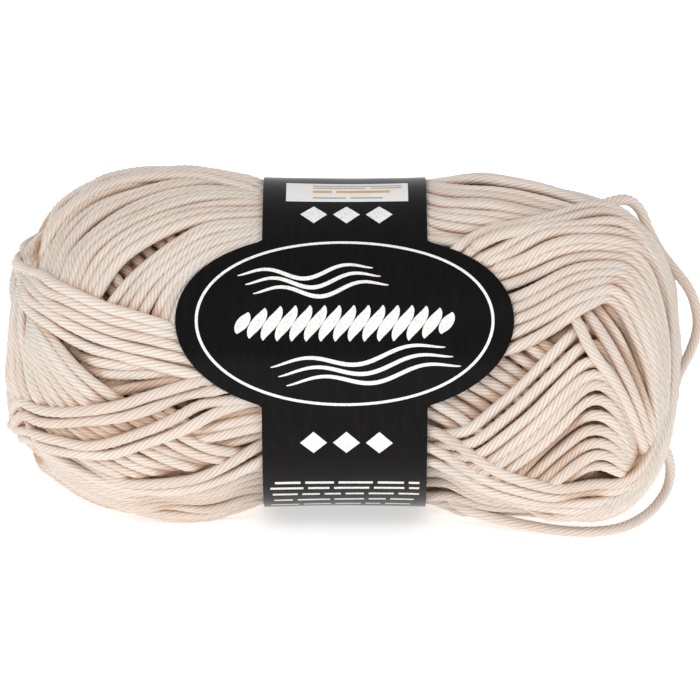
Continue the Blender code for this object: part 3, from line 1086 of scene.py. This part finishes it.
def add_print(name, grids, lift, material):
    """Add a piece of thin slabs that lie on the band."""
    mesh = facing_out(ink_mesh(name, grids, lift))
    add_piece(name, mesh, material, "label_band")


def oval_line():
    """An ellipse as one stroke; its last point meets its first."""
    turn = np.linspace(0.0, 2 * math.pi, 145)
    length, height = OVAL_LINE
    x = np.cos(turn)[:, None] * (length + OVAL_LINE_HALF * np.array([1.0, 0.0, -1.0]))
    s = np.sin(turn)[:, None] * (height + OVAL_LINE_HALF * np.array([1.0, 0.0, -1.0]))
    return x, s


def twisted_cord():
    """A length of twisted cord drawn as a row of slanted leaves. The outline of the whole is
    rounded off towards its ends."""
    t = np.linspace(0.0, 1.0, 15)
    grids = []
    for k in range(CORD_PARTS):
        from_middle = (k - (CORD_PARTS - 1) / 2.0) / (CORD_PARTS / 2.0)
        tall = CORD_HEIGHT * (1.0 - CORD_ROUNDING * from_middle ** 6)
        middle = from_middle * CORD_PARTS / 2.0 * CORD_PART_WIDTH
        x = middle + CORD_SLANT * np.sin((t - 0.5) * math.pi) * tall / CORD_HEIGHT
        s = CORD_MIDDLE + tall * (t - 0.5)
        grids.append(stroke(x, s, CORD_LEAF[0] + CORD_LEAF[1] * np.sin(math.pi * t) ** 0.8))
    return grids


def waving_threads(row):
    """Three threads side by side that wave slowly together, taper at both ends and climb a
    little. They keep the same distance, and never cross."""
    t = np.linspace(0.0, 1.0, 60)
    swell = np.sin(math.pi * t) ** 0.5
    x = row["start"] + (row["end"] - row["start"]) * t
    wave = THREAD_WAVE * np.sin(2 * math.pi * row["waves"] * t) * swell
    s = row["middle"] + row["rise"] * (t - 0.5) + wave
    half = THREAD_HALF[0] + THREAD_HALF[1] * swell
    return [stroke(x + shift, s - shift * THREAD_FALL, half)
            for shift in (-THREAD_GAP, 0.0, THREAD_GAP)]


def diamonds(s_middle):
    """Three diamonds in a row, each a grid turned onto its corner."""
    u, v = np.meshgrid(np.linspace(-1, 1, 3), np.linspace(-1, 1, 3), indexing="ij")
    return [(x + DIAMOND * (u + v) / 2.0, s_middle + DIAMOND * (u - v) / 2.0)
            for x in DIAMONDS_ACROSS]


def dash_rows():
    """Rows of short dashes, of uneven length, that stand where small print would be."""
    grids = []
    for degrees in DASH_ROWS:
        s = math.radians(degrees - PANEL_ANGLE) * PAPER_RADIUS
        x = -DASH_EDGE + rng.uniform(0.0, 1.0)
        while x < DASH_EDGE - 2.0 * DASH_GAP:
            length = min(rng.uniform(*DASH_LENGTH), DASH_EDGE - x)
            grids.append(stroke([x, x + length / 2.0, x + length], [s, s, s], DASH_HALF))
            x += length + DASH_GAP
    return grids


def white_ink():
    """Screen-printed white: matt and thick, with a little of the black showing through, in
    specks 0.4 mm across."""
    material, tree, shader = new_material("printed_ink_white", {
        "Roughness": 0.6, "Specular IOR Level": 0.3})
    where = node(tree, "ShaderNodeTexCoord")
    grain = node(tree, "ShaderNodeTexNoise", {"Scale": 2500.0, "Detail": 2.0},
                 {"Vector": where.outputs["Object"]})
    tint = node(tree, "ShaderNodeValToRGB", links={0: grain.outputs["Fac"]},
                stops=((0.3, "#D9D7D5"), (0.6, "#F4F3F2")))
    tree.links.new(tint.outputs[0], shader.inputs["Base Color"])
    return material


printed = [oval_line()] + twisted_cord()
for row in WAVING_THREADS:
    printed += waving_threads(row)
for s_middle in DIAMONDS_UP:
    printed += diamonds(s_middle)
printed += dash_rows()
add_print("band_print", printed, INK, white_ink())

# ---------------------------------------------------------------------------------------------
# A plain white paper sticker on top of the band, with a few thin grey rules and a bar in warm
# orange. It is stuck flat, and follows the band's curve.
# ---------------------------------------------------------------------------------------------
STICKER_PAPER = 0.09            # mm
STICKER = (-9.9, 10.7, 68.9, 84.4)      # from and to in mm along the ball, then in degrees
RULE_HALF = 0.4                 # degrees
RULES = [
    # each line: its angle, and from where to where its two parts go, in mm
    {"angle": 71.4, "parts": ((-5.4, 0.2), (1.0, 6.4))},
    {"angle": 79.6, "parts": ((-5.4, 3.6), (4.4, 9.6))},
    {"angle": 81.6, "parts": ((-5.4, 9.6),)},
]
BAR_ANGLES = (75.3, 77.2)       # degrees
BAR_PARTS = ((-5.4, -2.2), (-1.4, 7.6))     # mm


def sticker_grid(x_low, x_high, angle_low, angle_high, columns, rows):
    """A rectangle on the band, between two places along the ball and two angles."""
    x, angle = np.meshgrid(np.linspace(x_low, x_high, columns),
                           np.linspace(angle_low, angle_high, rows), indexing="ij")
    return x, np.radians(angle - PANEL_ANGLE) * PAPER_RADIUS


def plain_finish(name, low_colour, high_colour, roughness):
    """Uncoated paper or dry ink: matt, with a faint cloudiness 2 mm across."""
    material, tree, shader = new_material(name, {"Roughness": roughness})
    where = node(tree, "ShaderNodeTexCoord")
    cloud = node(tree, "ShaderNodeTexNoise", {"Scale": 500.0, "Detail": 3.0},
                 {"Vector": where.outputs["Object"]})
    tint = node(tree, "ShaderNodeValToRGB", links={0: cloud.outputs["Fac"]},
                stops=((0.0, low_colour), (1.0, high_colour)))
    tree.links.new(tint.outputs[0], shader.inputs["Base Color"])
    return material


add_print("sticker", [sticker_grid(*STICKER, 12, 20)], STICKER_PAPER,
          plain_finish("uncoated_paper_white", "#E6E4E2", "#F6F5F4", 0.7))
rules = [sticker_grid(*part, row["angle"] - RULE_HALF, row["angle"] + RULE_HALF, 9, 2)
         for row in RULES for part in row["parts"]]
add_print("sticker_rules", rules, STICKER_PAPER + INK,
          plain_finish("printed_ink_grey", "#8D8B89", "#A6A4A2", 0.6))
bars = [sticker_grid(*part, *BAR_ANGLES, 5, 3) for part in BAR_PARTS]
add_print("sticker_bar", bars, STICKER_PAPER + INK,
          plain_finish("printed_ink_orange", "#D9A257", "#E2B067", 0.6))

# ---------------------------------------------------------------------------------------------
# The table and the light: a plain white table top in a white room, which is lit softly from all
# round, with one broad lamp at the front left and a weaker one low at the front right.
# ---------------------------------------------------------------------------------------------
TABLE_RADIUS = 6.0      # m
TABLE_SIDES = 96


def table_mesh():
    """A flat disc just under the ball."""
    turn = np.arange(TABLE_SIDES) * 2 * math.pi / TABLE_SIDES
    rim = np.stack([TABLE_RADIUS * np.cos(turn), TABLE_RADIUS * np.sin(turn),
                    np.full(TABLE_SIDES, cad_low[2])], axis=1)
    mesh = bpy.data.meshes.new("table_top")
    mesh.from_pydata(rim.tolist(), [], [list(range(TABLE_SIDES))])
    return mesh


def white_table():
    """A matt white board lit from within like a light table, so that shadows on it are faint."""
    return new_material("white_table", {
        "Base Color": linear("#F7F6F5"), "Roughness": 0.9, "Specular IOR Level": 0.1,
        "Emission Color": linear("#FFFFFF"), "Emission Strength": 0.56,
    })[0]


table = bpy.data.objects.new("table_top", table_mesh())
table.data.materials.append(white_table())
bpy.context.scene.collection.objects.link(table)

ROOM_LIGHT = 0.65       # what the room gives the ball; the camera sees it as plain white
world = bpy.data.worlds.new("white_room")
world.use_nodes = True
surroundings = world.node_tree.nodes["Background"]
surroundings.inputs["Color"].default_value = linear("#FFFFFF")
seen = node(world.node_tree, "ShaderNodeLightPath")
strength = node(world.node_tree, "ShaderNodeMapRange", {"To Min": ROOM_LIGHT, "To Max": 1.0},
                {"Value": seen.outputs["Is Camera Ray"]})
world.node_tree.links.new(strength.outputs[0], surroundings.inputs["Strength"])
bpy.context.scene.world = world

LAMPS_AIM = Vector((0.0, 0.0, 0.03))    # m, the middle of the ball
LAMPS = [
    # name, place (m), size (m), watts
    {"name": "front_left", "at": (-0.55, -1.00, 0.62), "size": 0.6, "power": 4.5},
    {"name": "front_right", "at": (0.75, -0.95, 0.22), "size": 0.6, "power": 2.4},
]
for row in LAMPS:
    lamp = bpy.data.lights.new(row["name"], "AREA")
    lamp.size = row["size"]
    lamp.energy = row["power"]
    holder = bpy.data.objects.new(row["name"], lamp)
    holder.location = row["at"]
    aim = LAMPS_AIM - holder.location
    holder.rotation_euler = aim.to_track_quat("-Z", "Y").to_euler()
    bpy.context.scene.collection.objects.link(holder)

# ---------------------------------------------------------------------------------------------
# The camera: far off with a long lens, square to the ball and a little above it.
# ---------------------------------------------------------------------------------------------
DISTANCE = 0.8          # m
ELEVATION = math.radians(12.0)
VIEW_WIDTH = 0.1204     # m across the picture at the ball
SENSOR = 36.0           # mm
target = Vector((0.00155, 0.0, 0.0287))     # m, the middle of the picture
camera = bpy.data.cameras.new("camera")
camera.sensor_width = SENSOR
camera.lens = SENSOR * DISTANCE / VIEW_WIDTH
camera.clip_start = 0.05
camera.clip_end = 20.0
viewer = bpy.data.objects.new("camera", camera)
back = Vector((0.0, -math.cos(ELEVATION), math.sin(ELEVATION)))
viewer.location = target + back * DISTANCE
viewer.rotation_euler = (-back).to_track_quat("-Z", "Y").to_euler()
bpy.context.scene.collection.objects.link(viewer)
bpy.context.scene.camera = viewer
bpy.context.scene.view_settings.view_transform = "Standard"
